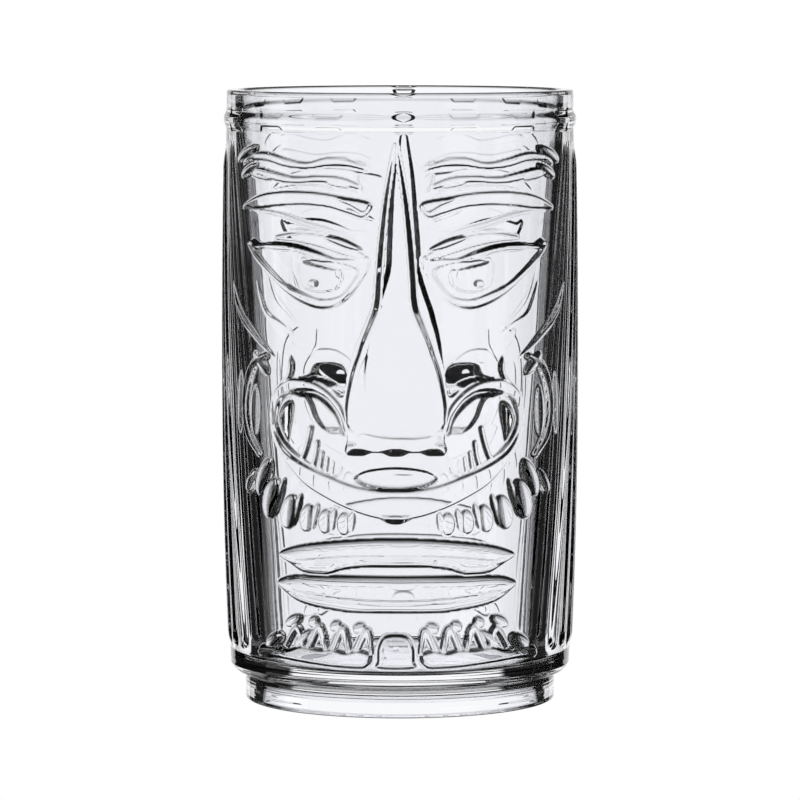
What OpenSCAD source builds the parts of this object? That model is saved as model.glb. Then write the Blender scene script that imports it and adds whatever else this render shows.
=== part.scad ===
// Pressed clear-glass tumbler with the same carved mask face on its front and on its back.
// Origin at the centre of the resting face, +Z up, the front face looks along -Y.
// The glass is one pressing: every node is one moulded region, and it meets its neighbours face to face.

/* [Tumbler] */
// Overall height
height = 146.5; // [130:0.5:165]
// Outer diameter of the plain body at its widest place
body_d = 84.6; // [80:0.2:92]
// Outer diameter of the body where it turns in above the foot
body_bottom_d = 81.6; // [78:0.2:84]
// Outer diameter of the body under the headband
body_top_d = 83.2; // [80:0.2:86]
// Height of the widest place
widest_z = 76; // [60:1:90]
// Outer diameter of the drinking rim
rim_d = 83; // [81:0.2:85]
// Inner diameter at the drinking rim
mouth_d = 76; // [74:0.5:78]
// Inner diameter at the bottom of the cavity
floor_d = 62; // [58:0.5:66]
// Height of the cavity floor, which is the thickness of the solid base
floor_z = 10; // [10:0.5:18]
// Radius of the round corner between floor and wall inside
floor_round = 2; // [1:0.5:6]

/* [Foot] */
// Outer diameter of the round foot
foot_d = 74.4; // [68:0.2:76]
// Height of the foot
foot_h = 6.8; // [5.6:0.2:7]
// Height over which the body turns in to the foot
shoulder_h = 2.2; // [1.6:0.2:2.6]
// Diameter of the hollow under the glass
hollow_d = 66; // [56:1:68]
// Depth of the hollow
hollow_depth = 5; // [3:0.5:5.5]

/* [Headband] */
// Height of the smooth band and lip above the headband
lip_band_h = 4.5; // [3:0.5:8]
// Height of the headband
headband_h = 5; // [4:0.5:7]
// Height of the headband above the body
headband_relief = 0.6; // [0.5:0.1:1.4]
// Number of notches round the headband
headband_notches = 16; // [12:1:20]
// How deep the notches are cut
notch_depth = 0.4; // [0.2:0.1:0.5]

/* [Relief] */
// Height of the wrinkles, lids, tufts and knobs above the body
ridge_h = 0.7; // [0.6:0.1:1.2]
// Height of the locks of hair on the sides
hair_h = 0.5; // [0.4:0.1:0.8]
// Height of the eyebrows and the moustache ribbon
bold_h = 0.9; // [0.7:0.1:1.6]
// Height of the lips
lip_h = 1.5; // [1:0.1:2.2]
// Height of the nose at its tip
nose_h = 2.5; // [1.6:0.1:3.6]
// Height of the nose at its top
nose_top_h = 0.6; // [0.4:0.1:1.4]
// Height of the face on the back as a share of the face on the front
back_share = 0.4; // [0.4:0.1:1]

/* [Hidden] */
$fn = 96;
// Share of its full height that the face being drawn has
$share = 1;
// Overlap of cutting shapes past a face
cut = 1;
// Straight steps in each stretch of a drawn curve
curve_steps = 3;
// Height and width that the outlines of the face are drawn for
drawn_h = 146.5;
drawn_d = 84.6;
up_k = height / drawn_h;
side_k = body_d / drawn_d;
headband_top_z = height - lip_band_h;
headband_z = headband_top_z - headband_h;
rim_round = (rim_d - mouth_d) / 4;
body_bottom_z = foot_h + shoulder_h;
// Radius of the hollow at its top, which its draft makes a little smaller
hollow_top_r = hollow_d / 2 - 0.6;
// Cones that make up the slow curve of the body, below and above its widest place
body_bands = 4;

// ---- Profile of the turned body ----

// Outer radius of the plain body: a slow curve, widest at widest_z
function outer_r(z) =
    let (end_z = z > widest_z ? headband_z : body_bottom_z)
    let (end_r = (z > widest_z ? body_top_d : body_bottom_d) / 2)
    body_d / 2 - (body_d / 2 - end_r) * pow((z - widest_z) / (end_z - widest_z), 2);

// Heights at which the cones of the body meet, from the shoulder to the headband
body_zs = [
    for (i = [0 : body_bands]) body_bottom_z + (widest_z - body_bottom_z) * i / body_bands,
    for (i = [1 : body_bands]) widest_z + (headband_z - widest_z) * i / body_bands
];
body_line = [for (z = body_zs) [z, outer_r(z)]];

// Outer radius on the cones themselves, so that neighbours share the same faces
function cone_r(z) = lookup(z, body_line);
function zs_between(low, high) = concat([low], [for (z = body_zs) if (z > low && z < high) z], [high]);

// Profile points [radius, height] on the body, up and down
function body_up(low, high) = [for (z = zs_between(low, high)) [cone_r(z), z]];
function reversed(p) = [for (i = [len(p) - 1 : -1 : 0]) p[i]];

// Inner radius of the cavity: a plain draft cone
function inner_r(z) = (floor_d + (mouth_d - floor_d) * (z - floor_z) / (height - floor_z)) / 2;

// ---- Drawn curves: a point is [sideways, up], and in a stroke [sideways, up, width] ----

function spline(a, b, c, d, t) =
    0.5 * (2 * b + (c - a) * t + (2 * a - 5 * b + 4 * c - d) * t * t + (3 * b - a - 3 * c + d) * t * t * t);
function smooth_line(p) =
    let (n = len(p) - 1)
    concat(
        [for (i = [0 : n - 1], k = [0 : curve_steps - 1])
            spline(p[max(i - 1, 0)], p[i], p[i + 1], p[min(i + 2, n)], k / curve_steps)],
        [p[n]]
    );
function smooth_loop(p) =
    let (n = len(p))
    [for (i = [0 : n - 1], k = [0 : curve_steps - 1])
        spline(p[(i + n - 1) % n], p[i], p[(i + 1) % n], p[(i + 2) % n], k / curve_steps)];
function left_of(p, i) =
    let (d = p[min(i + 1, len(p) - 1)] - p[max(i - 1, 0)])
    [-d[1], d[0]] / norm([d[0], d[1]]);
function stroke_outline(p) =
    let (q = smooth_line(p))
    let (last = len(q) - 1)
    concat(
        [for (i = [0 : last]) [q[i][0], q[i][1]] + left_of(q, i) * q[i][2] / 2],
        [for (i = [last : -1 : 0]) [q[i][0], q[i][1]] - left_of(q, i) * q[i][2] / 2]
    );
function to_size(p) = [for (v = p) [v[0] * side_k, v[1] * up_k]];

// ---- Building blocks ----

// Layer on the outside of the body between two drawn heights, its thickness changing evenly
module skin(low, high, low_h, high_h) {
    zs = zs_between(low * up_k, high * up_k);
    span = zs[len(zs) - 1] - zs[0];
    outside = [for (z = zs) [cone_r(z) + low_h + (high_h - low_h) * (z - zs[0]) / span, z]];
    rotate_extrude()
        polygon(concat(outside, reversed(body_up(zs[0], zs[len(zs) - 1]))));
}

// Layer that swells in an arc between two drawn heights
module swelling(low, high, edge_h, middle_h) {
    steps = 8;
    a = low * up_k;
    b = high * up_k;
    outside = [
        for (i = [0 : steps])
            let (z = a + (b - a) * i / steps)
            [cone_r(z) + $share * (edge_h + (middle_h - edge_h) * sin(180 * i / steps)), z]
    ];
    rotate_extrude()
        polygon(concat(outside, reversed(body_up(a, b))));
}

// A drawn outline pushed out through the front of the body
module pushed_out(outline) {
    rotate([90, 0, 0])
        linear_extrude(height = body_d)
            polygon(to_size(outline));
}

module stroke(p, low, high, h) {
    intersection() {
        pushed_out(stroke_outline(p));
        skin(low, high, h * $share, h * $share);
    }
}

module patch(p, low, high, h) {
    intersection() {
        pushed_out(smooth_loop(p));
        skin(low, high, h * $share, h * $share);
    }
}

// A small raised drop from one drawn point to another, round at both ends
module drop(from, to, w, low, high, h) {
    middle = (from + to) / 2;
    aside = w / 2 * left_of([from, to], 0);
    patch([from, middle + aside, to, middle - aside], low, high, h);
}

module both_sides() {
    children();
    mirror([1, 0, 0])
        children();
}

module at_back() {
    $share = back_share;
    rotate([0, 0, 180])
        children();
}

// ---- Turned regions ----

module tumbler_wall() {
    fillet_r = inner_r(floor_z + floor_round);
    fillet = [
        for (a = [0 : 15 : 90])
            [fillet_r - floor_round * (1 - sin(a)), floor_z + floor_round * (1 - cos(a))]
    ];
    color("lightcyan")
        rotate_extrude()
            polygon(concat(
                body_up(floor_z, headband_z),
                [[inner_r(headband_z), headband_z]],
                reversed(fillet)
            ));
}

module solid_base() {
    color("lightcyan")
        rotate_extrude()
            polygon(concat(
                [[0, hollow_depth], [hollow_top_r, hollow_depth]],
                [[hollow_top_r, foot_h], [foot_d / 2, foot_h]],
                body_up(body_bottom_z, floor_z),
                [[0, floor_z]]
            ));
}

module foot_ring() {
    bevel = 0.6;
    color("lightcyan")
        rotate_extrude()
            polygon([
                [hollow_d / 2, 0],
                [foot_d / 2 - bevel, 0],
                [foot_d / 2, bevel],
                [foot_d / 2, foot_h],
                [hollow_top_r, foot_h],
                [hollow_top_r, hollow_depth]
            ]);
}

// Ring with a keystone notch above and below at each place, which leaves long beads between them
module headband() {
    middle_z = headband_z + headband_h / 2;
    outer = cone_r(headband_z) + headband_relief;
    floor_r = outer - notch_depth;
    bevel = 0.6;
    notch_w = 6;
    notch_wide_w = 8.8;
    notch_gap = 1.4;
    mouth = headband_h / 2 + cut;
    color("lightcyan")
        difference() {
            rotate_extrude()
                polygon([
                    [inner_r(headband_z), headband_z],
                    [cone_r(headband_z), headband_z],
                    [outer, headband_z + bevel],
                    [outer, headband_top_z - bevel],
                    [rim_d / 2, headband_top_z],
                    [inner_r(headband_top_z), headband_top_z]
                ]);
            for (i = [0 : headband_notches - 1])
                rotate([90, 0, i * 360 / headband_notches])
                    translate([0, middle_z, floor_r])
                        linear_extrude(height = notch_depth + cut)
                            for (side = [1, -1])
                                polygon([
                                    [-notch_w / 2, notch_gap / 2 * side],
                                    [notch_w / 2, notch_gap / 2 * side],
                                    [notch_wide_w / 2, mouth * side],
                                    [-notch_wide_w / 2, mouth * side]
                                ]);
        }
}

module rim_lip() {
    crown_z = height - rim_round;
    crown = [
        for (a = [0 : 15 : 180])
            [mouth_d / 2 + rim_round * (1 + cos(a)), crown_z + rim_round * sin(a)]
    ];
    color("lightcyan")
        rotate_extrude()
            polygon(concat(
                [[inner_r(headband_top_z), headband_top_z], [rim_d / 2, headband_top_z]],
                crown
            ));
}

// ---- The face, drawn on the front ----

// A wedge that is highest at the eyes; its lower end stands lower on the back
module nose() {
    half = [[0.5, 134.4], [1.7, 129], [3, 121], [4.1, 111.6], [4.7, 104], [5.2, 97.7], [6.7, 93.5],
        [8.8, 89], [9.8, 80], [10.4, 73], [11.2, 67], [11.6, 63]];
    whole = concat([for (v = half) [-v[0], v[1]]], reversed(half));
    eyes_z = 98;
    color("azure")
        intersection() {
            pushed_out(whole);
            union() {
                skin(63, eyes_z, nose_h * $share, nose_h);
                skin(eyes_z, 134.4, nose_h, nose_top_h);
            }
        }
}

module nostrils() {
    color("lightsteelblue")
        both_sides()
            patch([[1, 61], [5, 61.8], [10.5, 62.2], [12.6, 61], [9, 59.8], [4, 59.6]],
                59, 62.6, ridge_h);
}

module forehead_ridges() {
    upper = [[37, 128.5, 0.8], [33, 132, 1.8], [28, 131.4, 1.5], [22, 130, 1.5],
        [16, 131.2, 1.5], [10, 130, 1.4], [7, 128.8, 0.6]];
    lower = [[36.5, 126, 0.8], [33, 128, 1.8], [28, 126.6, 1.5], [22, 125.4, 1.5],
        [16, 126, 1.5], [11, 124.6, 1.4], [7.5, 124, 0.6]];
    color("azure")
        both_sides() {
            stroke(upper, 127, 134, ridge_h);
            stroke(lower, 123, 129.6, ridge_h);
        }
}

module eyebrows() {
    color("azure")
        both_sides()
            patch([[37, 118.6], [34, 121], [28, 123], [20, 123.4], [12, 121.8], [6, 121.2],
                [8, 118.2], [15, 119.6], [24, 120.4], [31, 119]], 117, 124.4, bold_h);
}

module eyelids() {
    lid = [[34, 118, 0.6], [29, 117.6, 1.6], [23, 116.4, 1.8], [17, 114.6, 1.6],
        [12, 112.4, 1.4], [7.5, 109.6, 0.8]];
    color("azure")
        both_sides()
            stroke(lid, 108, 119, ridge_h);
}

module eye_rims() {
    top = [[35.4, 111.4, 0.8], [29, 110.6, 1.4], [22, 110, 1.4], [15.6, 107.4, 1.4],
        [10, 106.6, 1.2], [5.6, 107.8, 0.8]];
    bottom = [[33, 109, 0.8], [28, 103.4, 1.8], [23, 99.4, 2], [18, 97, 2], [13, 97.6, 1.6],
        [9.4, 101, 1.4], [7.4, 104.8, 1]];
    color("azure")
        both_sides() {
            stroke(top, 105, 112.4, ridge_h);
            stroke(bottom, 95, 110, ridge_h);
        }
}

module irises() {
    color("azure")
        both_sides()
            patch([[20.6, 108], [21.2, 104], [19.6, 100.4], [15.6, 99.4], [12, 101.4],
                [10.8, 105.4], [15.6, 105.8]], 99, 108.6, ridge_h);
}

module cheek_spikes() {
    color("azure")
        both_sides()
            patch([[39, 100.4], [38, 95], [35, 90.4], [31.4, 87], [29, 85.4], [31.6, 89.6],
                [35.4, 94.6]], 85, 101, ridge_h);
}

module moustache_ribbon() {
    side = [[12, 69, 1.4], [13.6, 73.4, 2.4], [17, 76.6, 3], [21, 78, 3.2], [25, 77, 3],
        [28, 73.8, 2], [28.8, 69, 1.6], [27.6, 64, 2.4], [25, 59.8, 3.2], [20, 56.6, 3.8],
        [14, 53.6, 4.8], [7, 51.4, 5.8], [0, 50.7, 6.4]];
    other_side = [for (v = reversed(side)) if (v[0] > 0) [-v[0], v[1], v[2]]];
    whole = concat(side, other_side);
    color("azure")
        stroke(whole, 46, 81, bold_h);
}

module cheek_flutes() {
    count = 6;
    color("azure")
        both_sides() {
            drop([13, 64], [20, 74.6], 2.8, 63, 75, ridge_h);
            drop([25, 64.6], [24, 74], 1.8, 63, 75, ridge_h);
            for (i = [0 : count - 1]) {
                across = i / (count - 1);
                bottom = [22.4 - 8.6 * across, 60.6 - 3 * across];
                length = 7.4 - 4 * across;
                drop(bottom, bottom + length * [-0.32, 0.95], 1.1, 55, 69, ridge_h);
            }
        }
}

function oval(half_w, half_h) =
    smooth_loop([for (a = [0 : 45 : 315]) [half_w * cos(a), 57.1 + half_h * sin(a)]]);

// Raised ring round a sunk oval
module philtrum_oval() {
    color("lightsteelblue")
        intersection() {
            difference() {
                pushed_out(oval(10, 2.3));
                pushed_out(oval(8.9, 1.4));
            }
            skin(54.4, 59.6, ridge_h * $share, ridge_h * $share);
        }
}

module moustache_fringe() {
    tops = [[33.6, 57.4], [29, 53.4], [24.6, 51], [20.2, 49.6], [15.8, 48.6], [11.4, 48]];
    lean = [0.2, -0.98];
    lengths = [5, 6.6, 6.6, 5.4, 4.6, 4.2];
    color("azure")
        both_sides()
            for (i = [0 : len(tops) - 1])
                drop(tops[i], tops[i] + lengths[i] * lean, 2, 42, 58, ridge_h);
}

// Closed outline of a lip from the right half of its top edge and of its bottom edge
function mirrored(p) = [for (v = reversed(p)) if (v[0] > 0) [-v[0], v[1]]];
function lip_outline(top, bottom) =
    smooth_loop(concat(top, mirrored(top), mirrored(bottom), bottom));

module upper_lip() {
    top = [[27.8, 38.2], [25.6, 39.8], [21, 41.2], [14, 42.3], [6, 43], [0, 43.1]];
    bottom = [[0, 36.3], [7, 36.2], [12.6, 35.5], [16.4, 34.6], [21.6, 34.7], [25, 36.2]];
    color("azure")
        intersection() {
            pushed_out(lip_outline(top, bottom));
            swelling(34.4, 43.4, 0.4, lip_h);
        }
}

module lower_lip() {
    top = [[28.2, 31.2], [26.7, 32.6], [23, 33.4], [14, 33.8], [6, 34], [0, 34]];
    bottom = [[0, 25.5], [9.5, 25.4], [14.3, 25.8], [20.2, 26.6], [24.4, 28]];
    color("azure")
        intersection() {
            pushed_out(lip_outline(top, bottom));
            swelling(25, 34.2, 0.4, lip_h);
        }
}

// Knobs over pointed petals, a hem under them, and a block in the middle of the chin
module beard() {
    knobs = [[[26.6, 21.6], [22.4, 24.2]], [[20.6, 21.8], [18.6, 24.2]], [[15.4, 21.4], [13.2, 23.4]],
        [[10.2, 21.4], [7.4, 23]]];
    petals = [[[31.6, 16.6], [27, 19.6]], [[25.2, 16.6], [22.6, 20.2]], [[20.8, 16.2], [17.6, 21]],
        [[16.4, 15.8], [12.4, 20.8]], [[11.2, 15.8], [7.8, 20]]];
    hem = [[33.4, 13.6], [28.6, 13.3], [23.7, 12.9], [18.8, 12.5], [14.5, 12.2], [8.5, 12.1], [6.6, 12.6],
        [5.8, 13.6], [7, 14.6], [14, 14.6], [22, 14.9], [28, 15.2], [32.6, 15.6]];
    block = [[-2.4, 20.4], [2.4, 20.4], [4.2, 17.8], [4.4, 14.4], [3.8, 12.4], [-3.8, 12.4], [-4.4, 14.4],
        [-4.2, 17.8]];
    color("azure") {
        both_sides() {
            for (k = knobs)
                drop(k[0], k[1], 2.4, 20, 25.4, ridge_h);
            for (p = petals)
                drop(p[0], p[1], 2.4, 15, 22, ridge_h);
            patch(hem, 11.6, 16.2, bold_h);
        }
        patch(block, 12, 20.8, bold_h);
    }
}

// Half of an ear, as the front face or the back face shows it on the right
module ear_half() {
    shell = [[31.4, 83.6, 0.8], [33.6, 81.6, 1.2], [35.2, 77, 1], [35.6, 71, 0.8], [34.6, 65.4, 1],
        [32.4, 61.6, 0.8]];
    stroke(shell, 60, 85, ridge_h);
    drop([32.6, 77], [32.8, 66], 1.8, 64, 78, ridge_h);
}

// Ear on the right side of the tumbler, as seen from the front and from the back, and the locks between,
// which fan out from the headband towards the foot
module ear_and_hair() {
    locks = 7;
    pitch_low = 8;
    pitch_high = 2.8;
    lock_share = 0.62;
    bottom_z = 14;
    top_z = 133;
    bends = 5;
    mm_per_degree = drawn_d / 2 * PI / 180;
    color("lightcyan") {
        ear_half();
        mirror([0, 1, 0])
            ear_half($share = back_share);
        for (i = [0 : locks - 1]) {
            place = i - (locks - 1) / 2;
            middle_pitch = (pitch_low + pitch_high) / 2;
            rotate([0, 0, 90 + middle_pitch * place])
                stroke([
                    for (k = [0 : bends])
                        let (pitch = pitch_low + (pitch_high - pitch_low) * k / bends)
                        [mm_per_degree * (pitch - middle_pitch) * place,
                            bottom_z + (top_z - bottom_z) * k / bends,
                            mm_per_degree * pitch * lock_share * (k == 0 || k == bends ? 0.4 : 1)]
                ], bottom_z - 1, top_z + 1, hair_h);
        }
    }
}

tumbler_wall();
solid_base();
foot_ring();
headband();
rim_lip();
nose();  // front_nose
at_back() nose();  // back_nose
nostrils();  // front_nostrils
at_back() nostrils();  // back_nostrils
forehead_ridges();  // front_forehead_ridges
at_back() forehead_ridges();  // back_forehead_ridges
eyebrows();  // front_eyebrows
at_back() eyebrows();  // back_eyebrows
eyelids();  // front_eyelids
at_back() eyelids();  // back_eyelids
eye_rims();  // front_eye_rims
at_back() eye_rims();  // back_eye_rims
irises();  // front_irises
at_back() irises();  // back_irises
cheek_spikes();  // front_cheek_spikes
at_back() cheek_spikes();  // back_cheek_spikes
moustache_ribbon();  // front_moustache_ribbon
at_back() moustache_ribbon();  // back_moustache_ribbon
cheek_flutes();  // front_cheek_flutes
at_back() cheek_flutes();  // back_cheek_flutes
philtrum_oval();  // front_philtrum_oval
at_back() philtrum_oval();  // back_philtrum_oval
moustache_fringe();  // front_moustache_fringe
at_back() moustache_fringe();  // back_moustache_fringe
upper_lip();  // front_upper_lip
at_back() upper_lip();  // back_upper_lip
lower_lip();  // front_lower_lip
at_back() lower_lip();  // back_lower_lip
beard();  // front_beard
at_back() beard();  // back_beard
ear_and_hair();  // right_ear_and_hair
mirror([1, 0, 0]) ear_and_hair();  // left_ear_and_hair
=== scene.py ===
"""Clear pressed-glass tiki tumbler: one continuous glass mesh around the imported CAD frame, in metres."""

import math

import bpy
import numpy as np
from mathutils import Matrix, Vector


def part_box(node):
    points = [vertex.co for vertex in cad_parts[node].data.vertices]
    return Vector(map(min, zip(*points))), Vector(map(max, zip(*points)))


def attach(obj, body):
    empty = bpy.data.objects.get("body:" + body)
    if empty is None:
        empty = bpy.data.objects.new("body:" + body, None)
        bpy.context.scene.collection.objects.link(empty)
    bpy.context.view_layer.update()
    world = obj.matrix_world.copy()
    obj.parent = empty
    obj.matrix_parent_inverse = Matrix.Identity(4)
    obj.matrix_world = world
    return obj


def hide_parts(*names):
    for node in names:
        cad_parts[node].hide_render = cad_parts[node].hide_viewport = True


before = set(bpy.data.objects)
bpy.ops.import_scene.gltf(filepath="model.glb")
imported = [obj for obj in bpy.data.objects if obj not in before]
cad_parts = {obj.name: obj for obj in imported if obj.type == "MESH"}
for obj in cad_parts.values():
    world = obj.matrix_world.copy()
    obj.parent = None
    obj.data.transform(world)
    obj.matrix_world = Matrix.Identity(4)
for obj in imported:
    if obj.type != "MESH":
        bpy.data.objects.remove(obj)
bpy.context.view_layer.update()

MM = 0.001

# ---- Driving sizes, in millimetres, read from the frame ----
wall_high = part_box("tumbler_wall")[1]
foot_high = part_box("foot_ring")[1]
rim_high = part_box("rim_lip")[1]
band_low, band_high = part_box("headband")
base_low, base_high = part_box("solid_base")

HEIGHT = rim_high.z / MM
FOOT_R = foot_high.x / MM
FOOT_H = foot_high.z / MM
BODY_R = wall_high.x / MM
FLOOR_Z = base_high.z / MM
RIM_R = rim_high.x / MM
BAND_Z = band_low.z / MM
BAND_TOP_Z = band_high.z / MM
PUNT_Z = base_low.z / MM

# ---- Sizes that the frame's boxes don't show, in millimetres ----
BAND_RELIEF = 0.6
BAND_NOTCHES = 16
NOTCH_DEPTH = 0.16
BODY_Z = FOOT_H + 2.2
BODY_BOTTOM_R = BODY_R - 1.5
BODY_TOP_R = BODY_R - 0.7
WIDEST_Z = 76.0
MOUTH_R = RIM_R - 3.5
FLOOR_R = 31.0
FLOOR_ROUND = 2.0
PUNT_R = 33.0
PUNT_DRAFT = 0.6
POLE_R = 2.0
RIM_ROUND = 1.3
BAND_BEAD_Z = BAND_Z - 0.4
LIP_BEAD_Z = BAND_TOP_Z + 1.0

# How much of the front's relief, and of its sunk parts, the back has
BACK_RELIEF = 0.4
BACK_CUT = 0.15

# Mesh fineness: columns in a quarter turn, row height on the body, and how near a row holds each flat's end
QUARTER = 256
Z_STEP = 0.29
HOLD = 0.08

# Light panels: azimuth, half width, where the lower edge fades in, upper edge (all in degrees), level.
# Each stands behind the glass for one view: the first for the camera below, the others for azimuth and
# elevation 90,3 then 45,25 then 225,15. From directions with no panel behind it the glass looks nearly black.
LIGHT_PANELS = [
    (0, 29, (-40, -12), 13, 1.04),
    (-90, 12, (-13, -10), 12, 0.85),
    (-45, 13, (-37, -34), -19, 0.85),
    (135, 13, (-27, -24), -9, 0.85),
]
PANEL_SOFT = 1.5
DARK_LEVEL = 0.012

# Camera, in metres and degrees
CAMERA_DISTANCE = 1.192
CAMERA_HEIGHT = 0.175
CAMERA_TURN = 1.35
AIM_HEIGHT = 0.0718
LENS = 223.8
SENSOR = 36

# ---- Drawn curves: points are (sideways, up) in millimetres on the front of the glass ----


def spline(points, steps=8, closed=False):
    """Smooth curve through given points; extra columns such as a width run along it."""
    p = np.array(points, float)
    n = len(p)
    spans = n if closed else n - 1
    t = np.arange(steps)[:, None] / steps
    out = []
    for i in range(spans):
        if closed:
            a, b, c, d = p[(i - 1) % n], p[i], p[(i + 1) % n], p[(i + 2) % n]
        else:
            a, b, c, d = p[max(i - 1, 0)], p[i], p[i + 1], p[min(i + 2, n - 1)]
        out.append(0.5 * (2 * b + (c - a) * t + (2 * a - 5 * b + 4 * c - d) * t ** 2
                          + (3 * b - a - 3 * c + d) * t ** 3))
    if not closed:
        out.append(p[-1:])
    return np.concatenate(out)


def nearest(x, z, line):
    """Distance from each grid point to a polyline, and the line's columns at the nearest place."""
    best = np.full(x.shape, 1e9)
    extra = np.zeros(x.shape + (line.shape[1] - 2,))
    for a, b in zip(line[:-1], line[1:]):
        ab = b[:2] - a[:2]
        length2 = max(float(ab @ ab), 1e-9)
        t = np.clip(((x - a[0]) * ab[0] + (z - a[1]) * ab[1]) / length2, 0, 1)
        d = np.hypot(x - a[0] - t * ab[0], z - a[1] - t * ab[1])
        closer = d < best
        best = np.where(closer, d, best)
        value = a[2:] + t[..., None] * (b[2:] - a[2:])
        extra = np.where(closer[..., None], value, extra)
    return best, extra


def inside(x, z, loop):
    """True for the grid points inside a closed polyline."""
    hit = np.zeros(x.shape, bool)
    for a, b in zip(loop, np.roll(loop, -1, axis=0)):
        crosses = (a[1] > z) != (b[1] > z)
        with np.errstate(divide="ignore", invalid="ignore"):
            at = a[0] + (z - a[1]) * (b[0] - a[0]) / (b[1] - a[1])
        hit ^= crosses & (x < at)
    return hit


def smooth(t):
    """Change from 0 to 1 with soft ends."""
    t = np.clip(t, 0, 1)
    return t * t * (3 - 2 * t)


def blend(value, low, high, at_low, at_high):
    """Straight change from one value to another between two places, constant outside them."""
    return at_low + (at_high - at_low) * np.clip((value - low) / (high - low), 0, 1)


def near(x, z, points, margin):
    """Mask of the grid points close enough to a set of points to be worth working out."""
    lo, hi = points[:, :2].min(0) - margin, points[:, :2].max(0) + margin
    return (x > lo[0]) & (x < hi[0]) & (z > lo[1]) & (z < hi[1])


def depth_in(x, z, points):
    """Distance inside a drawn outline, negative outside it."""
    loop = spline(points, closed=True)
    out = np.full(x.shape, -9.0)
    mask = near(x, z, loop, 3)
    xs, zs = x[mask], z[mask]
    d, _ = nearest(xs, zs, np.vstack([loop, loop[:1]]))
    out[mask] = np.where(inside(xs, zs, loop), d, -d)
    return out


def slab(x, z, points, height, flank=0.8):
    """Raised outline with a straight bevel just inside its edge."""
    return height * np.clip(depth_in(x, z, points) / flank, 0, 1)


def pillow(x, z, points, height, reach):
    """Raised outline that is round from its edge inwards."""
    d = np.clip(depth_in(x, z, points) / reach, 0, 1)
    return height * np.sqrt(1 - (1 - d) ** 2)


def stroke(x, z, points, height, flank=0.5):
    """Raised line through (x, z, width) points: flat top of that width and a straight bevel each side."""
    line = spline(points)
    mask = near(x, z, line, 5)
    out = np.zeros(x.shape)
    d, width = nearest(x[mask], z[mask], line)
    out[mask] = height * np.clip((width[..., 0] / 2 + flank - d) / flank, 0, 1)
    return out


def cord(x, z, points, height):
    """Raised line through (x, z, width) points with a round top."""
    line = spline(points)
    mask = near(x, z, line, 5)
    out = np.zeros(x.shape)
    d, width = nearest(x[mask], z[mask], line)
    across = d / np.maximum(width[..., 0] / 2, 0.05)
    out[mask] = height * np.sqrt(np.clip(1 - across ** 2, 0, 1)) * np.clip(width[..., 0], 0, 1)
    return out


def drop(x, z, start, stop, width, height):
    """Round-topped oval bump from one point to another."""
    start, stop = np.array(start, float), np.array(stop, float)
    middle = (start + stop) / 2
    half = np.linalg.norm(stop - start) / 2
    along = (stop - start) / (2 * half)
    u = (x - middle[0]) * along[0] + (z - middle[1]) * along[1]
    v = (z - middle[1]) * along[0] - (x - middle[0]) * along[1]
    return height * np.sqrt(np.clip(1 - (u / half) ** 2 - (v / (width / 2)) ** 2, 0, 1))


def highest(parts):
    """The highest of several reliefs at each grid point."""
    return np.max(np.stack(parts), axis=0)


# ---- The face: heights above the plain body, as functions of (sideways, up) ----


def nose(x, z):
    """Wedge from the forehead down, with steep straight sides above and a soft flare below."""
    edge = spline([(134.4, 0.5), (129, 1.65), (121, 3.0), (111.6, 4.1), (104, 4.7), (97.7, 5.2), (93.5, 6.7),
                   (89, 8.7), (86, 9.8), (82, 11), (77, 11.8), (73.5, 12.1), (69.8, 11.9), (66, 12.6),
                   (60.5, 13.2)])[::-1]
    half_width = np.interp(z, edge[:, 0], edge[:, 1])
    flank = np.interp(z, [62, 65.5, 67.5, 70, 73.5, 77, 82, 86, 92, 97.7, 111.6, 121, 129, 134],
                      [1.4, 4.5, 4.5, 1.4, 1.8, 2.1, 2.7, 3.0, 2.3, 1.8, 1.6, 1.3, 1.0, 0.6])
    height = np.interp(z, [60, 68, 76, 86, 92, 97.7, 111.6, 121, 129, 134],
                       [2.7, 2.1, 2.1, 2.4, 2.3, 2.4, 2.15, 1.75, 1.15, 0.5])
    side = np.clip((half_width - np.abs(x)) / flank, 0, 1)
    side = side + (smooth(side) - side) * blend(z, 90, 97, 0.8, 0)
    lobe_x, lobe_half, middle_half = 9.2, 2.9, 2.6
    lobe = np.exp(-((np.abs(x) - lobe_x) / lobe_half) ** 4) + np.exp(-(x / middle_half) ** 4)
    under_z, top_z = 63.2, 134.8
    under = np.clip((z - under_z + 1.1 * lobe) / (0.4 + 1.9 * lobe), 0, 1)
    end = np.clip((top_z - z) / 0.8, 0, 1)
    return height * np.minimum(side, end) * under


def philtrum_oval(x, z):
    """Sunk oval under the nose: how deep it is."""
    oval = [(10 * math.cos(a), 57 + 2.9 * math.sin(a)) for a in np.arange(8) * math.pi / 4]
    return 1.1 * np.clip(depth_in(x, z, oval) / 0.9, 0, 1)


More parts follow.
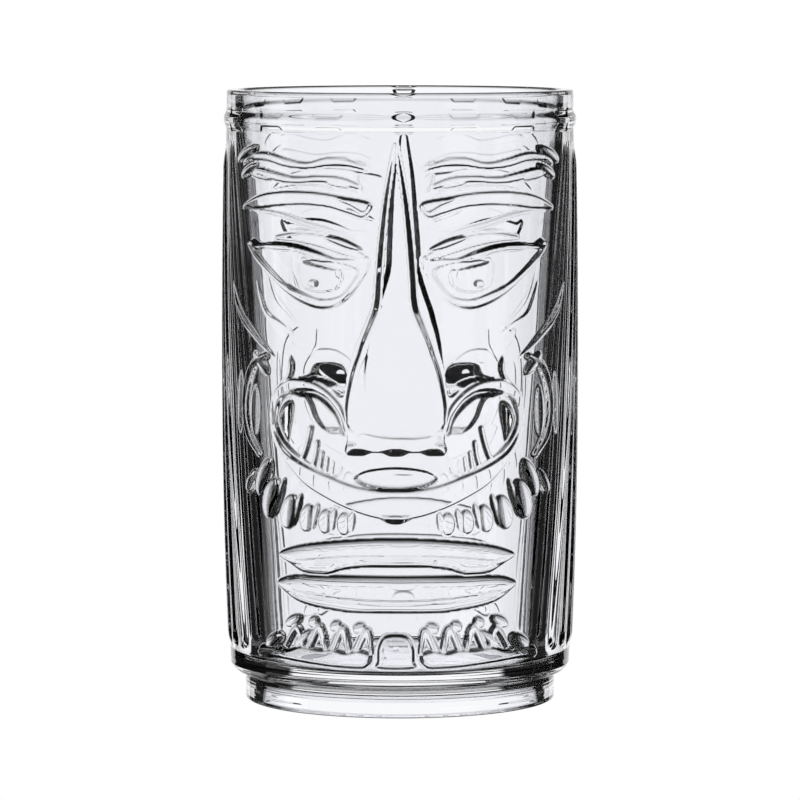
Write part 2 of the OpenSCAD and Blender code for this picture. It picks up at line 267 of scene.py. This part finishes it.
def forehead_ridges(x, z):
    """Two wavy ridges, a faint fold under them, and drops that thicken their ends."""
    upper = [(36.5, 129.6, 0.5), (34, 131.2, 1.6), (30.5, 131.4, 2), (26, 130.2, 2), (21, 129.6, 1.5),
             (16, 130.6, 2), (11.5, 130.4, 1.6), (7.8, 129.4, 1)]
    lower = [(35.8, 126.8, 0.5), (33, 128, 1.4), (29, 127, 2), (24, 126.2, 1.6), (18, 126.6, 1.4),
             (13, 126.2, 1.7), (9, 125, 1.2)]
    fold = [(30, 123.4, 0.4), (24, 124.6, 0.8), (17, 124.6, 0.8), (9, 123.4, 0.3)]
    return highest([
        cord(x, z, upper, 0.7),
        cord(x, z, lower, 0.7),
        cord(x, z, fold, 0.3),
        drop(x, z, (19.6, 130.3), (11, 131.2), 1.7, 0.65),
        drop(x, z, (16.8, 126.2), (10.2, 124.9), 1.8, 0.65),
        drop(x, z, (35, 127.4), (29.2, 126.3), 1.6, 0.75),
        drop(x, z, (38.2, 130), (33, 133.8), 2.6, 0.8),
        drop(x, z, (37.2, 126.4), (33, 129.6), 2, 0.8),
        drop(x, z, (9.2, 130.8), (6.4, 128.6), 1.6, 0.4),
        drop(x, z, (8.6, 127.6), (7, 123.8), 1.8, 0.3),
    ])


def eyebrow(x, z):
    """Long low brow with a taller wedge beside the nose."""
    brow = [(36.8, 119), (34.6, 121.2), (31, 122.8), (26, 123.6), (20, 123.6), (14, 122.9), (5.6, 121),
            (7.4, 117.8), (11, 118.6), (16, 120), (22, 120.4), (28, 119.9), (32, 119.2)]
    wedge = [(15.6, 122.7), (8.4, 122), (5.7, 120.9), (7.3, 118.6), (10.6, 120.2), (12.8, 121.1)]
    return highest([slab(x, z, brow, 0.8, flank=0.5), slab(x, z, wedge, 1.5, flank=0.7)])


def eyelid(x, z):
    """Heavy upper lid: a broad line, the creases over it, and a tall short one near the nose."""
    fold = [(36, 119, 0.2), (32, 118.6, 0.7), (27, 117.9, 1), (21, 116, 1.1), (15.3, 114.6, 1),
            (10, 112.8, 0.4)]
    lid = [(28, 112.6, 0.3), (23, 112.9, 1.6), (18, 112.3, 2.2), (13, 110.8, 2.2), (8, 108.6, 1)]
    crease = [(25, 114.3, 0.3), (22, 114.5, 0.5), (17, 114, 0.5), (12.5, 112.6, 0.9), (8.4, 110.6, 0.7)]
    accent = [(16.6, 113.2, 0.5), (13.4, 112.3, 1.6), (10.6, 111.3, 1.6), (7.9, 110.3, 0.5)]
    return highest([cord(x, z, fold, 0.35), stroke(x, z, lid, 0.5, flank=0.5), cord(x, z, crease, 0.8),
                    cord(x, z, accent, 1.6)])


def eye(x, z):
    """Raised almond: a broad steep bevel along its lower outer edge and a thin one along its top."""
    lower = [(34.9, 112), (33.6, 108.4), (31.5, 105.4), (28.6, 102.5), (25.6, 99.8), (22, 97.6),
             (17.6, 96.3), (13.4, 97.2), (10.2, 99.8), (7.6, 103.2), (5.8, 107.4), (6, 118), (20, 124),
             (36, 120)]
    upper = [(34.9, 110.6), (31.8, 111), (27.8, 111.6), (23, 111.3), (18, 109.8), (14, 108.4),
             (9, 108.4), (5.6, 107.6), (4, 92), (20, 88), (38, 94)]
    ball = [(32.1, 110), (30.4, 107.4), (27.6, 104.4), (24.9, 102), (21, 99.8), (17, 98.4), (13, 99.2),
            (10.4, 101.8), (8.6, 105.4), (12, 107), (17.4, 107.6), (22, 109.8), (27, 110.3)]
    iris = [(21.2, 108.4), (21.9, 105), (21, 101.4), (17.4, 100.2), (13.4, 101.4), (12.4, 104.8),
            (13.8, 107), (17.4, 107.8)]
    height = blend(x, 14, 24, 0.55, 2.6)
    flank = blend(x, 14, 24, 0.6, 1.25)
    inside_lower = np.clip(depth_in(x, z, lower) / flank, 0, 1)
    inside_upper = np.clip(depth_in(x, z, upper) / 0.6, 0, 1)
    h = height * np.minimum(inside_lower, inside_upper)
    h = h - slab(x, z, ball, 0.5, flank=0.35)
    h = h + slab(x, z, iris, 0.4, flank=0.35)
    h = h - drop(x, z, (20.8, 107.4), (9.4, 105.7), 1.8, 1.3)
    return h + drop(x, z, (19.8, 102.2), (17.6, 102.4), 1.9, 0.6)


def cheek_spike(x, z):
    """Crescent that points down and in from the temple, with two folds beside it."""
    crescent = [(39.4, 101.6), (38.4, 96), (36.6, 91.9), (34, 89), (31, 86.3), (28.6, 84.6), (31.4, 88),
                (34, 91.2), (36, 93.9), (37.6, 96.9)]
    fold = [(33, 102, 0.2), (31.9, 98, 0.7), (30.4, 94.6, 0.8), (27, 92.4, 0.5), (23.5, 89.6, 0.1)]
    crease = [(24.8, 85, 0.3), (24.4, 83.1, 1.2), (24.7, 80.8, 1.1), (25.9, 79.3, 0.7), (28.1, 77, 0.3)]
    return highest([slab(x, z, crescent, 0.8, flank=0.5), cord(x, z, fold, 0.4), cord(x, z, crease, 1.0)])


def moustache_ribbon(x, z):
    """Band across under the nose whose end rises and curls over into an arch."""
    line = [(28.7, 73, 0.6), (28.8, 68.8, 0.6), (27.9, 65.4, 0.7), (26.2, 62.3, 0.9), (23.6, 59.5, 2),
            (20, 56.8, 3.4), (15.5, 54.6, 4.2), (10.5, 52.6, 4.8), (5, 51.2, 5.6), (0, 50.8, 6),
            (-5, 51.2, 5.6)]
    arch = [(29.6, 70), (29.4, 73.2), (29, 75.7), (27.8, 77.6), (25.9, 79.2), (24, 79.9), (19.9, 79.5),
            (16.8, 78.1), (14.2, 75.9), (12.4, 73.6), (11.5, 71), (11.2, 67), (11.5, 61), (13.5, 56.4),
            (18, 57.6), (22, 59.8), (25.6, 62.4), (28.4, 66)]
    arch_height = blend(z, 60, 69, 0, 0.95)
    return highest([stroke(x, z, line, 0.75, flank=0.45), arch_height * slab(x, z, arch, 1, flank=0.5)])


def curl_pocket(x, z):
    """How deep the inside of the moustache's curl is sunk: shallow, with a deep scoop under the arch."""
    pocket = [(24.4, 76.8), (22.4, 77.7), (19.6, 77.8), (17.5, 77), (15.6, 75.8), (13.8, 73.7),
              (12.5, 71.6), (11.7, 69.2), (11, 66), (11.8, 60.6), (14, 57), (18.3, 58.6), (22.1, 60.8),
              (25, 63), (27.2, 66.4), (27.9, 70), (27.4, 74), (26.2, 75.8)]
    scoop = [(24.4, 76.6), (22.4, 77.7), (19.6, 77.8), (17.5, 77), (15.6, 75.8), (13.8, 73.7),
             (12.5, 71.6), (11.7, 69.2), (11.2, 66.4), (12.4, 64.6), (14.4, 65.2), (15.9, 66.7),
             (17.6, 68.4), (19.3, 70.8), (20.4, 73.5), (21.6, 75.2)]
    petal = [(22, 76.3), (19, 76.1), (16.5, 74.5), (14.4, 72.4), (13.2, 70.7), (12, 68), (11.4, 65.6),
             (13.4, 63.6), (15.5, 64.6), (18.6, 67.6), (20.6, 70.4), (22, 73.6)]
    shallow = 0.4 * np.clip(depth_in(x, z, pocket) / 0.8, 0, 1)
    outwards_down = 0.75 * x - 0.66 * z
    flank = blend(outwards_down, -37, -32.5, 1.4, 0.8)
    deep = blend(z, 64.6, 69, 0.2, 3.3) * np.clip(depth_in(x, z, scoop) / flank, 0, 1)
    return np.maximum(shallow, deep - slab(x, z, petal, 1.6, flank=0.9))


def cheek_dent(x, z):
    """Dent between the nose, the cheek and the curl, cut as a steep slope that faces down."""
    dent = [(23, 80), (20.2, 81.1), (19.2, 83.3), (17.5, 84), (14.4, 84.1), (12.3, 83.2), (11.5, 81.5),
            (11.7, 79.4), (12.1, 76.4), (13, 75.8), (14.1, 76.6), (15.6, 78), (17.5, 79.2), (20, 79.8)]
    top_z, slope, drop_of_ramp = 84.4, 0.8, 6.2
    ramp = slope * (np.clip(top_z - z, 0, None) % drop_of_ramp)
    return ramp * np.clip(depth_in(x, z, dent) / 0.4, 0, 1)


def curl_filling(x, z):
    """What stands in the curl: a leaf beside its outer edge, and six flutes."""
    leaf = [(24.8, 74.8), (23.8, 74.5), (23.6, 72.7), (24, 69.9), (24.6, 67.4), (25.3, 65), (26.6, 67.2),
            (27.3, 70), (27, 72.1), (26.1, 73.8)]
    flutes = [[(19.5, 68.6), (20.3, 65.5), (21.6, 62), (22.7, 60.8)],
              [(18.2, 65.3), (18.6, 62.5), (19.6, 59.4)], [(17.2, 62.9), (17.9, 59)],
              [(16, 61.6), (16.5, 58.6)], [(14.7, 60.8), (15.1, 57.8)], [(13.2, 60.4), (13.6, 57.4)]]
    parts = [slab(x, z, leaf, 2.3, flank=1.7)]
    for i, points in enumerate(flutes):
        parts.append(cord(x, z, [(a, b, 1.1 - 0.1 * i) for a, b in points], 0.9 - 0.1 * i))
    return highest(parts)


def moustache_fringe(x, z):
    """Locks that hang under the ribbon, and the shallow bow between them."""
    tops = [(28.2, 56), (24.2, 52.6), (20.2, 50.6), (16.2, 49.6), (12, 49)]
    tips = [(30.4, 46.6), (26, 44.4), (21.4, 44), (16.8, 43.8), (12.2, 43.6)]
    widths = [4.4, 4.2, 3.6, 3.4, 3.4]
    parts = [drop(x, z, a, b, w, 1.25) for a, b, w in zip(tops, tips, widths)]
    parts += [drop(x, z, (a[0] - 2, a[1] + 0.4), (b[0] - 1.6, b[1] + 0.6), 1.7, 0.8)
              for a, b in zip(tops, tips)]
    parts.append(drop(x, z, (29.6, 60.6), (32.6, 51.8), 3.6, 1.1))
    parts.append(drop(x, z, (33, 57.6), (35.4, 51.8), 2.6, 1.1))
    low_z, top_z, bend = 46.2, 48.5, 0.09
    under_ribbon = np.clip(z - low_z - bend * x ** 2, 0, None) * np.clip((top_z - z) / 0.3, 0, 1)
    parts.append(1.1 * under_ribbon)
    return highest(parts)


def mirrored(points):
    """The same points on the other side, in reverse order, without those on the middle."""
    return [(-a, b) for a, b in points[::-1] if a > 0]


def upper_lip(x, z):
    """Upper lip: a round pillow with a faint ridge."""
    top = [(27.8, 38.2), (25.6, 39.8), (21, 41.2), (14, 42.3), (6, 43), (0, 43.1)]
    bottom = [(0, 36.3), (7, 36.2), (12.6, 35.4), (16.4, 34.2), (21.6, 34.4), (25, 36.2)]
    lip = top + mirrored(top) + mirrored(bottom) + bottom
    ridge = [(27, 37.6, 0.4), (23, 37, 1), (15.6, 37.9, 1.2), (8, 38.5, 1.2), (0, 38.6, 1.2),
             (-8, 38.5, 1.2)]
    return pillow(x, z, lip, 1.9, 2.9) + cord(x, z, ridge, 0.25)


def lower_lip(x, z):
    """Lower lip: a round pillow with a faint ridge."""
    top = [(28.2, 31.2), (26.7, 32.8), (23, 33.7), (14, 34.1), (6, 34.3), (0, 34.3)]
    bottom = [(0, 25.5), (9.5, 25.4), (14.3, 25.8), (20.2, 26.6), (24.4, 28)]
    lip = top + mirrored(top) + mirrored(bottom) + bottom
    ridge = [(26.4, 30.6, 0.4), (22, 29.6, 1), (14, 28.6, 1.2), (7, 28.2, 1.2), (0, 28, 1.2),
             (-7, 28.2, 1.2)]
    return pillow(x, z, lip, 1.9, 3.1) + cord(x, z, ridge, 0.25)


def beard(x, z):
    """Knobs over pointed petals that stand out more towards their lower edge, and the chin block."""
    knobs = [((26.6, 21.4), (22.4, 24)), ((20.6, 21.6), (18.6, 24)), ((15.4, 21), (13.2, 23.2)),
             ((10, 20.8), (7.4, 22.8))]
    parts = [drop(x, z, a, b, 2.6, 0.9) for a, b in knobs]
    parts.append(drop(x, z, (31.6, 16), (27, 19.2), 3, 1.2))
    parts.append(drop(x, z, (24.4, 16.8), (20, 20.8), 2.2, 1.0))
    zigzag = [(26.4, 16.8, 1), (23.6, 21.2, 1.7), (21.4, 16.4, 1.7), (18.2, 21.8, 1.8), (16, 15.6, 1.8),
              (12.6, 21.6, 1.8), (10.6, 15.2, 1.8), (7, 21.2, 1.8), (5.8, 16, 1)]
    parts.append(cord(x, z, zigzag, 0.9))
    hem = [(33.6, 13.4), (28.6, 13.3), (23.7, 12.9), (18.8, 12.5), (14.5, 12.2), (8.5, 12.1),
           (6.9, 12.6), (5.8, 13.9), (5.9, 16), (9, 17), (12, 16.4), (15, 17), (18.6, 16.8),
           (22.6, 17.2), (26, 16), (29, 16.4), (33, 16)]
    block = [(-2.4, 20.4), (2.4, 20.4), (4.3, 17.8), (4.6, 14.4), (4.4, 12.3), (-4.4, 12.3),
             (-4.6, 14.4), (-4.3, 17.8)]
    parts.append(slab(x, z, hem, 1.3, flank=0.9))
    parts.append(slab(x, z, block, 1.3, flank=0.9))
    parts.append(drop(x, z, (1.6, 17), (-1.6, 17), 2, 1.4))
    return highest(parts)


def ear(x, z):
    """Ear at the edge of the face: a curved shell round three drops."""
    shell = [(30.6, 84.8, 0.6), (33.6, 82.2, 1.2), (35.2, 77, 1), (35.6, 71, 0.8), (34.6, 65.4, 1),
             (32.4, 61.6, 0.6)]
    return highest([
        stroke(x, z, shell, 0.9, flank=0.5),
        drop(x, z, (33.2, 77.6), (33.4, 65.6), 2.2, 1.1),
        drop(x, z, (33.6, 85.4), (30, 80.4), 2.4, 0.9),
        drop(x, z, (37, 80.6), (37.4, 65.6), 1.2, 0.9),
    ])


def side_hair(x, z, phi):
    """Upright locks of hair round the side, fanning out towards the foot."""
    count = 4
    foot_z, top_z = 14, 133
    foot_degrees, top_degrees = 27, 8
    lock_height = 0.5
    spread = np.radians(blend(z, foot_z, top_z, foot_degrees, top_degrees))
    ends = smooth((z - foot_z + 1) / 3) * smooth((top_z + 1 - z) / 6)
    h = np.zeros(x.shape)
    for i in range(count):
        wander = 0.08 * np.sin(z / 15 + 1.9 * i)
        middle = math.pi / 2 - spread * (i + wander) / (count - 1)
        across = (phi - middle) / (spread / (count - 1) * 0.55)
        bump = 0.5 + 0.5 * np.cos(math.pi * np.clip(across, -1, 1))
        h = np.maximum(h, (lock_height + 0.1 * math.sin(3.1 * i)) * bump)
    return h * ends


def face_relief(x, z, phi):
    """Height of the whole face on the front and on the back, where all but the nose stands lower."""
    raised = [f(x, z) for f in (forehead_ridges, eyebrow, eyelid, eye, cheek_spike,
                                moustache_ribbon, moustache_fringe, upper_lip, lower_lip, beard, ear)]
    h = highest(raised)
    pocket = curl_pocket(x, z)
    cut = philtrum_oval(x, z) + pocket - np.where(pocket > 0.3, curl_filling(x, z), 0)
    ridge = nose(x, z)
    hair = side_hair(x, z, phi)
    front = highest([h, ridge, hair]) - cut - cheek_dent(x, z)
    back_ridge = ridge * blend(z, 62, 90, 0, 1)
    back = highest([h * BACK_RELIEF, back_ridge, hair]) - cut * BACK_CUT
    return front, back


# ---- The headband and rim ----


def band_relief(x, z):
    """Keystone notches in both edges of the headband at each place round it but the front and back."""
    middle = (BAND_Z + BAND_TOP_Z) / 2
    angle = np.arcsin(np.clip(x / BODY_R, 0, 1))
    pitch = 2 * math.pi / BAND_NOTCHES
    off = BODY_R * np.abs((angle + pitch / 2) % pitch - pitch / 2)
    over = np.abs(z - middle)
    half_bar = 0.7          # of the plain bar along the band's middle, which the notches leave
    half_notch = 3.0        # of a notch's width beside that bar
    keystone = np.minimum(half_notch + 0.7 * (over - half_bar) - off, over - half_bar)
    notch = np.clip(keystone / 0.35, 0, 1) * np.where(over < (BAND_TOP_Z - BAND_Z) / 2, 1, 0)
    plain = x < BODY_R * math.sin(pitch / 2)
    return -NOTCH_DEPTH * np.where(plain, 0, notch)


def bead_relief(aside, z):
    """Two beads one above the other at the back: in the headband's lower edge and under the lip."""
    aside = np.abs(aside)
    off = np.abs(z - BAND_BEAD_Z)
    band_bead = np.clip((2.7 - 0.4 * off - aside) / 1.2, 0, 1) * np.clip((1.1 - off) / 0.3, 0, 1)
    lip_half = blend(z, LIP_BEAD_Z, LIP_BEAD_Z + 2, 1.7, 3.1)
    lip_bead = np.clip((lip_half - aside) / 1.1, 0, 1) * np.clip((z - LIP_BEAD_Z) / 0.3, 0, 1)
    return 1.3 * np.maximum(band_bead, lip_bead)


# ---- The glass as one closed mesh ----


def body_radius(z):
    """Outside of the plain body, widest a little above its middle."""
    end_z = np.where(z > WIDEST_Z, BAND_Z, BODY_Z)
    end_r = np.where(z > WIDEST_Z, BODY_TOP_R, BODY_BOTTOM_R)
    return BODY_R - (BODY_R - end_r) * ((z - WIDEST_Z) / (end_z - WIDEST_Z)) ** 2


def inner_radius(z):
    """Inside of the plain wall, straight from floor to mouth."""
    return FLOOR_R + (MOUTH_R - FLOOR_R) * (z - FLOOR_Z) / (HEIGHT - FLOOR_Z)


def rounded(corners, step):
    """Profile through (radius, height, round) corners, each rounded by its own radius, in short steps."""
    out = [np.array(corners[0][:2], float)]
    for before, here, after in zip(corners[:-2], corners[1:-1], corners[2:]):
        p = np.array(here[:2], float)
        back = np.array(before[:2], float) - p
        ahead = np.array(after[:2], float) - p
        back_length, ahead_length = np.linalg.norm(back), np.linalg.norm(ahead)
        cut = min(here[2], back_length * 0.49, ahead_length * 0.49)
        start, stop = p + back / back_length * cut, p + ahead / ahead_length * cut
        t = np.linspace(0, 1, 7)[:, None]
        curve = (1 - t) ** 2 * start + 2 * t * (1 - t) * p + t ** 2 * stop
        out += straight(out[-1], start, step) + list(curve)
    return np.array(out + straight(out[-1], np.array(corners[-1][:2], float), step)
                    + [np.array(corners[-1][:2], float)])


def straight(a, b, step):
    """Points between two corners, with one close to each end to keep the flat flat."""
    length = np.linalg.norm(b - a)
    if length < 4 * HOLD:
        return []
    count = max(int(length / step), 1)
    marks = [HOLD / length] + [i / count for i in range(1, count)] + [1 - HOLD / length]
    return [a + (b - a) * m for m in marks]


def outer_radius(z):
    """Outside of the plain glass from the shoulder, over the headband, to the rim."""
    ledge = 2.1
    band = BODY_TOP_R + BAND_RELIEF * smooth((z - BAND_Z) / ledge)
    band = RIM_R + (band - RIM_R) * smooth((BAND_TOP_Z - z) / ledge)
    return np.where(z < BAND_Z, body_radius(np.minimum(z, BAND_Z)), np.where(z < BAND_TOP_Z, band, RIM_R))


def mould_streaks(z):
    """Faint turned grooves that the mould leaves round the foot and the shoulder."""
    waves = 0.035 * np.sin(3.1 * z) + 0.025 * np.sin(7.7 * z + 1) + 0.015 * np.sin(12.9 * z + 2)
    return waves * smooth((z - 1.8) / 1) * smooth((12 - z) / 2)


def glass_rows():
    """Profile rows of the plain glass from the underside's middle, over the rim, to the cavity floor."""
    under = rounded([(POLE_R, PUNT_Z, 0), (PUNT_R - PUNT_DRAFT, PUNT_Z, 1.2), (PUNT_R, 0, 0.8),
                     (FOOT_R, 0, 1.4), (FOOT_R, 1.6, 0)], 1.0)
    foot_side = rounded([(FOOT_R, 1.8, 0), (FOOT_R, FOOT_H, 0.8), (BODY_BOTTOM_R - 1.0, FOOT_H + 0.4, 1.5),
                         (body_radius(BODY_Z), BODY_Z, 0)], 0.3)
    foot_side[:, 0] += mould_streaks(foot_side[:, 1])
    under = np.concatenate([under, foot_side])
    body_z = np.arange(BODY_Z + 0.1, HEIGHT - RIM_ROUND, Z_STEP)
    body = np.stack([outer_radius(body_z) + mould_streaks(body_z), body_z], 1)
    top = rounded([(RIM_R, HEIGHT - RIM_ROUND, 0), (RIM_R, HEIGHT, RIM_ROUND), (MOUTH_R, HEIGHT, 1.2),
                   (inner_radius(HEIGHT - 5), HEIGHT - 5, 0)], 0.5)
    inside_wall = rounded([(inner_radius(HEIGHT - 6), HEIGHT - 6, 0), (FLOOR_R, FLOOR_Z, FLOOR_ROUND),
                           (POLE_R, FLOOR_Z, 0)], 2.5)
    return under, body, top, inside_wall


def relief_all_round(angle, body):
    """Relief at each angle and body row: a quarter of each face, and its mirror image."""
    phi, gz = np.meshgrid(np.arange(QUARTER + 1) * 2 * math.pi / len(angle), body[:, 1])
    gx = BODY_R * np.sin(phi)
    front, back = face_relief(gx, gz, phi)
    band = band_relief(gx, gz)
    front = np.where(gz < BAND_Z, front, band)
    back = np.where(gz < BAND_Z, back, band)
    up = np.arange(QUARTER)
    down = QUARTER - up
    full = np.concatenate([front[:, up], back[:, down], back[:, up], front[:, down]], axis=1)
    return full + np.where(np.cos(angle) < 0, bead_relief(BODY_R * np.sin(angle), body[:, 1:]), 0)


def glass_mesh():
    """One closed mesh: rings of points from the underside over the rim to the cavity floor."""
    columns = 4 * QUARTER
    angle = np.arange(columns) * 2 * math.pi / columns      # 0 at the front (-Y), growing towards +X
    under, body, top, inside_wall = glass_rows()
    profile = np.concatenate([under, body, top, inside_wall])
    radius = np.repeat(profile[:, :1], columns, axis=1)
    radius[len(under):len(under) + len(body)] += relief_all_round(angle, body)
    co = np.stack([radius * np.sin(angle), -radius * np.cos(angle),
                   np.repeat(profile[:, 1:], columns, axis=1)], 2).reshape(-1, 3)
    n_rows = len(profile)
    co = np.concatenate([[(0, 0, PUNT_Z)], co, [(0, 0, FLOOR_Z)]]) * MM
    k = np.arange(columns)
    k1 = (k + 1) % columns
    quads = []
    for i in range(n_rows - 1):
        a, b = 1 + i * columns, 1 + (i + 1) * columns
        quads.append(np.stack([a + k, a + k1, b + k1, b + k], 1))
    quads = np.concatenate(quads)
    last = 1 + n_rows * columns
    top_ring = 1 + (n_rows - 1) * columns
    tris = np.concatenate([np.stack([np.zeros(columns, int), 1 + k1, 1 + k], 1),
                           np.stack([np.full(columns, last), top_ring + k, top_ring + k1], 1)])
    mesh = bpy.data.meshes.new("glass_tumbler")
    mesh.vertices.add(len(co))
    mesh.vertices.foreach_set("co", co.astype(np.float32).ravel())
    loops = np.concatenate([quads.ravel(), tris.ravel()])
    starts = np.concatenate([np.arange(len(quads)) * 4, len(quads) * 4 + np.arange(len(tris)) * 3])
    mesh.loops.add(len(loops))
    mesh.loops.foreach_set("vertex_index", loops.astype(np.int32))
    mesh.polygons.add(len(starts))
    mesh.polygons.foreach_set("loop_start", starts.astype(np.int32))
    mesh.polygons.foreach_set("use_smooth", np.ones(len(starts), bool))
    mesh.update(calc_edges=True)
    mesh.validate()
    return mesh


def node(tree, kind, **settings):
    """New shader node with the settings given."""
    n = tree.nodes.new(kind)
    for key, value in settings.items():
        setattr(n, key, value)
    return n


def glass_material():
    """Clear pressed glass: fire polish leaves broad soft waves, and the mould a faint fine skin."""
    mat = bpy.data.materials.new("clear_pressed_glass")
    mat.use_nodes = True
    tree = mat.node_tree
    bsdf = tree.nodes["Principled BSDF"]
    bsdf.inputs["Base Color"].default_value = (0.972, 0.976, 1.0, 1)
    bsdf.inputs["Roughness"].default_value = 0.0
    bsdf.inputs["IOR"].default_value = 1.5
    bsdf.inputs["Transmission Weight"].default_value = 1.0
    place = node(tree, "ShaderNodeTexCoord").outputs["Object"]
    normal = None
    for waves_per_metre, height in ((90, 0.03), (700, 0.001)):
        noise = node(tree, "ShaderNodeTexNoise")
        noise.inputs["Scale"].default_value = waves_per_metre
        noise.inputs["Detail"].default_value = 1.0
        tree.links.new(place, noise.inputs["Vector"])
        bump = node(tree, "ShaderNodeBump")
        bump.inputs["Strength"].default_value = 1.0
        bump.inputs["Distance"].default_value = height * MM
        tree.links.new(noise.outputs["Fac"], bump.inputs["Height"])
        if normal:
            tree.links.new(normal, bump.inputs["Normal"])
        normal = bump.outputs["Normal"]
    tree.links.new(normal, bsdf.inputs["Normal"])
    return mat


tumbler = bpy.data.objects.new("glass_tumbler", glass_mesh())
bpy.context.scene.collection.objects.link(tumbler)
tumbler.data.materials.append(glass_material())
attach(tumbler, "root")
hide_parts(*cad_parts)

# ---- Studio ----


def math_node(tree, operation, a, b=None, c=None):
    """Maths node on sockets or numbers; gives its output."""
    n = node(tree, "ShaderNodeMath", operation=operation)
    for i, value in enumerate((a, b, c)):
        if value is None:
            continue
        if isinstance(value, (int, float)):
            n.inputs[i].default_value = value
        else:
            tree.links.new(value, n.inputs[i])
    return n.outputs[0]


def step(tree, value, start, stop):
    """Soft change from 0 to 1 as a value goes from start to stop."""
    n = node(tree, "ShaderNodeMapRange", interpolation_type="SMOOTHSTEP")
    tree.links.new(value, n.inputs["Value"])
    n.inputs["From Min"].default_value = start
    n.inputs["From Max"].default_value = stop
    return n.outputs["Result"]


def light_panel(tree, azimuth, elevation, middle, half_width, fade, top, level):
    """Soft-edged white panel on the world sphere; angles in degrees, azimuth 0 at +Y and 90 at +X."""
    turned = math_node(tree, "SUBTRACT", azimuth, math.radians(middle))
    turned = math_node(tree, "WRAP", turned, math.pi, -math.pi)
    aside = math_node(tree, "ABSOLUTE", turned)
    across = step(tree, aside, math.radians(half_width + PANEL_SOFT), math.radians(half_width - PANEL_SOFT))
    over = step(tree, elevation, math.radians(fade[0]), math.radians(fade[1]))
    under = step(tree, elevation, math.radians(top + PANEL_SOFT), math.radians(top - PANEL_SOFT))
    total = math_node(tree, "MULTIPLY", across, over)
    total = math_node(tree, "MULTIPLY", total, under)
    return math_node(tree, "MULTIPLY", total, level)


def studio():
    """White panels, each behind the glass for one view, and near darkness in all other directions."""
    world = bpy.data.worlds.new("studio")
    bpy.context.scene.world = world
    world.use_nodes = True
    tree = world.node_tree
    tree.nodes.clear()
    coords = node(tree, "ShaderNodeTexCoord")
    split = node(tree, "ShaderNodeSeparateXYZ")
    tree.links.new(coords.outputs["Generated"], split.inputs[0])
    azimuth = math_node(tree, "ARCTAN2", split.outputs[0], split.outputs[1])
    elevation = math_node(tree, "ARCSINE", split.outputs[2])
    total = DARK_LEVEL
    for panel in LIGHT_PANELS:
        total = math_node(tree, "ADD", light_panel(tree, azimuth, elevation, *panel), total)
    path = node(tree, "ShaderNodeLightPath")
    total = math_node(tree, "MAXIMUM", total, path.outputs["Is Camera Ray"])
    background = node(tree, "ShaderNodeBackground")
    background.inputs["Color"].default_value = (1, 1, 1, 1)
    tree.links.new(total, background.inputs["Strength"])
    out = node(tree, "ShaderNodeOutputWorld")
    tree.links.new(background.outputs[0], out.inputs[0])


def floor():
    """Plain pale floor that only the camera sees, so that the studio panels alone draw the glass."""
    steps = 96
    radius = 6.0
    below = -0.0006
    mesh = bpy.data.meshes.new("pale_floor")
    ring = [(radius * math.cos(i * math.tau / steps), radius * math.sin(i * math.tau / steps), below)
            for i in range(steps)]
    mesh.from_pydata(ring, [], [list(range(steps))])
    table = bpy.data.objects.new("pale_floor", mesh)
    bpy.context.scene.collection.objects.link(table)
    mat = bpy.data.materials.new("pale_floor")
    mat.use_nodes = True
    tree = mat.node_tree
    tree.nodes.clear()
    glow = node(tree, "ShaderNodeEmission")
    out = node(tree, "ShaderNodeOutputMaterial")
    tree.links.new(glow.outputs[0], out.inputs[0])
    mesh.materials.append(mat)
    table.visible_transmission = False
    table.visible_glossy = False
    table.visible_diffuse = False


def photo_camera():
    """Camera a little above the rim, close to straight in front of the face."""
    data = bpy.data.cameras.new("camera")
    camera = bpy.data.objects.new("camera", data)
    bpy.context.scene.collection.objects.link(camera)
    data.lens = LENS
    data.sensor_width = SENSOR
    turn = math.radians(CAMERA_TURN)
    camera.location = (CAMERA_DISTANCE * math.sin(turn), -CAMERA_DISTANCE * math.cos(turn), CAMERA_HEIGHT)
    aim = Vector((0, 0, AIM_HEIGHT))
    camera.rotation_euler = (aim - camera.location).to_track_quat("-Z", "Y").to_euler()
    bpy.context.scene.camera = camera


floor()
studio()
photo_camera()
bpy.context.scene.view_settings.view_transform = "Standard"
bpy.context.scene.cycles.max_bounces = 24
bpy.context.scene.cycles.transmission_bounces = 24
